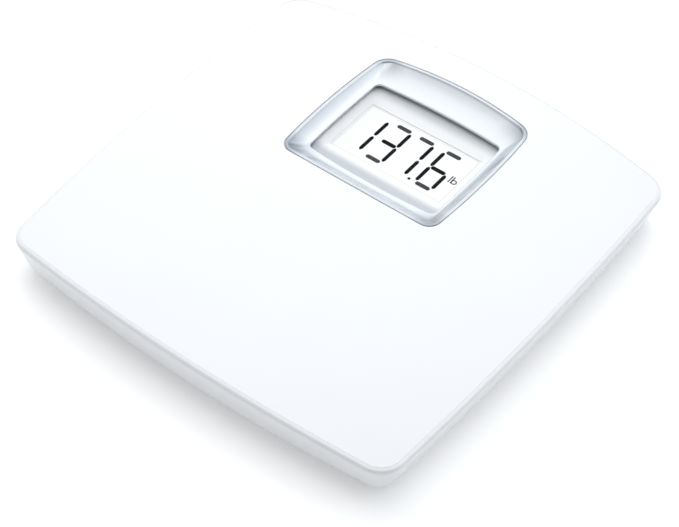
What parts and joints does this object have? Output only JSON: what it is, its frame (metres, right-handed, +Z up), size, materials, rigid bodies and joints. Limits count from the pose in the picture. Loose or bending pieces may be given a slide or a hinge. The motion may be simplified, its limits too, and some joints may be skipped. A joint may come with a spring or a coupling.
{
  "type": "digital bathroom scale",
  "caption": "Free-standing digital bathroom scale with a crowned white platform, a large recessed display in a silver bezel, and sprung feet over load cells.",
  "frame": {"origin": "on the floor under the middle of the platform, level with the undersides of the foot pads", "axes": "+Z up; +Y from the front edge towards the display edge; +X to the right of a person standing on the scale"},
  "size_m": [0.3262, 0.3288, 0.0374],
  "materials": {
    "platform_white": "glossy moulded ABS",
    "tray_plastic": "lightly textured ABS",
    "rubber": "matt",
    "bezel_silver": "silver lacquer on plastic",
    "window_clear": "clear moulded acrylic",
    "surround_silver": "satin silver lacquer",
    "lcd_glass": "pale grey liquid crystal cell",
    "reflector": "satin foil",
    "black_plastic": "matt black",
    "board_green": "solder mask",
    "steel": "rolled sheet",
    "contact_metal": "nickel plated spring strip",
    "gauge_film": "amber film",
    "wire_white": "vinyl insulation",
    "wire_red": "vinyl insulation",
    "screw_steel": "zinc plated"
  },
  "bodies": {
    "platform": {"base_tray": "tray_plastic", "battery_contact_negative": "contact_metal", "battery_contact_positive": "contact_metal", "battery_lead_negative": "black_plastic", "battery_lead_positive": "wire_red", "board_screw_1": "screw_steel", "board_screw_2": "screw_steel", "board_screw_3": "screw_steel", "board_screw_4": "screw_steel", "buffer_capacitor": "black_plastic", "circuit_board": "board_green", "coin_cell": "steel", "control_chip": "black_plastic", "display_bezel": "bezel_silver", "display_screw_1": "screw_steel", "display_screw_2": "screw_steel", "display_screw_3": "screw_steel", "display_screw_4": "screw_steel", "display_surround": "surround_silver", "display_window": "window_clear", "lcd_glass": "lcd_glass", "lcd_holder": "black_plastic", "lcd_reflector": "reflector", "load_cell_1": "steel", "load_cell_2": "steel", "load_cell_3": "steel", "load_cell_4": "steel", "platform_cover": "platform_white", "sensor_lead_1": "wire_white", "sensor_lead_2": "wire_white", "sensor_lead_3": "wire_white", "sensor_lead_4": "wire_white", "strain_gauge_1": "gauge_film", "strain_gauge_2": "gauge_film", "strain_gauge_3": "gauge_film", "strain_gauge_4": "gauge_film", "timing_crystal": "steel", "tray_screw_1": "screw_steel", "tray_screw_2": "screw_steel", "tray_screw_3": "screw_steel", "tray_screw_4": "screw_steel", "tray_screw_5": "screw_steel", "tray_screw_6": "screw_steel", "tray_screw_7": "screw_steel", "tray_screw_8": "screw_steel", "unit_switch_body": "black_plastic", "zebra_strip": "black_plastic"},
    "foot_1": {"foot_cup_1": "tray_plastic", "foot_pad_1": "rubber"},
    "foot_2": {"foot_cup_2": "tray_plastic", "foot_pad_2": "rubber"},
    "foot_3": {"foot_cup_3": "tray_plastic", "foot_pad_3": "rubber"},
    "foot_4": {"foot_cup_4": "tray_plastic", "foot_pad_4": "rubber"},
    "battery_door": {"battery_door": "tray_plastic"},
    "unit_switch_knob": {"unit_switch_knob": "black_plastic"}
  },
  "joints": [
    {"name": "foot_1_press", "type": "slide", "parent": "platform", "child": "foot_1", "axis": [0, 0, 1], "range_m": [0, 0.0005], "stiffness_N_per_m": 5000, "springref_m": -0.0006, "deforming": ["load_cell_1"]},
    {"name": "foot_2_press", "type": "slide", "parent": "platform", "child": "foot_2", "axis": [0, 0, 1], "range_m": [0, 0.0005], "stiffness_N_per_m": 5000, "springref_m": -0.0006, "deforming": ["load_cell_2"]},
    {"name": "foot_3_press", "type": "slide", "parent": "platform", "child": "foot_3", "axis": [0, 0, 1], "range_m": [0, 0.0005], "stiffness_N_per_m": 5000, "springref_m": -0.0006, "deforming": ["load_cell_3"]},
    {"name": "foot_4_press", "type": "slide", "parent": "platform", "child": "foot_4", "axis": [0, 0, 1], "range_m": [0, 0.0005], "stiffness_N_per_m": 5000, "springref_m": -0.0006, "deforming": ["load_cell_4"]},
    {"name": "battery_door_hinge", "type": "hinge", "parent": "platform", "child": "battery_door", "pos_m": [0, -0.0581, 0.0089], "axis": [-1, 0, 0], "range_deg": [0, 100]},
    {"name": "unit_switch_slide", "type": "slide", "parent": "platform", "child": "unit_switch_knob", "axis": [1, 0, 0], "range_m": [-0.002, 0.002]}
  ]
}
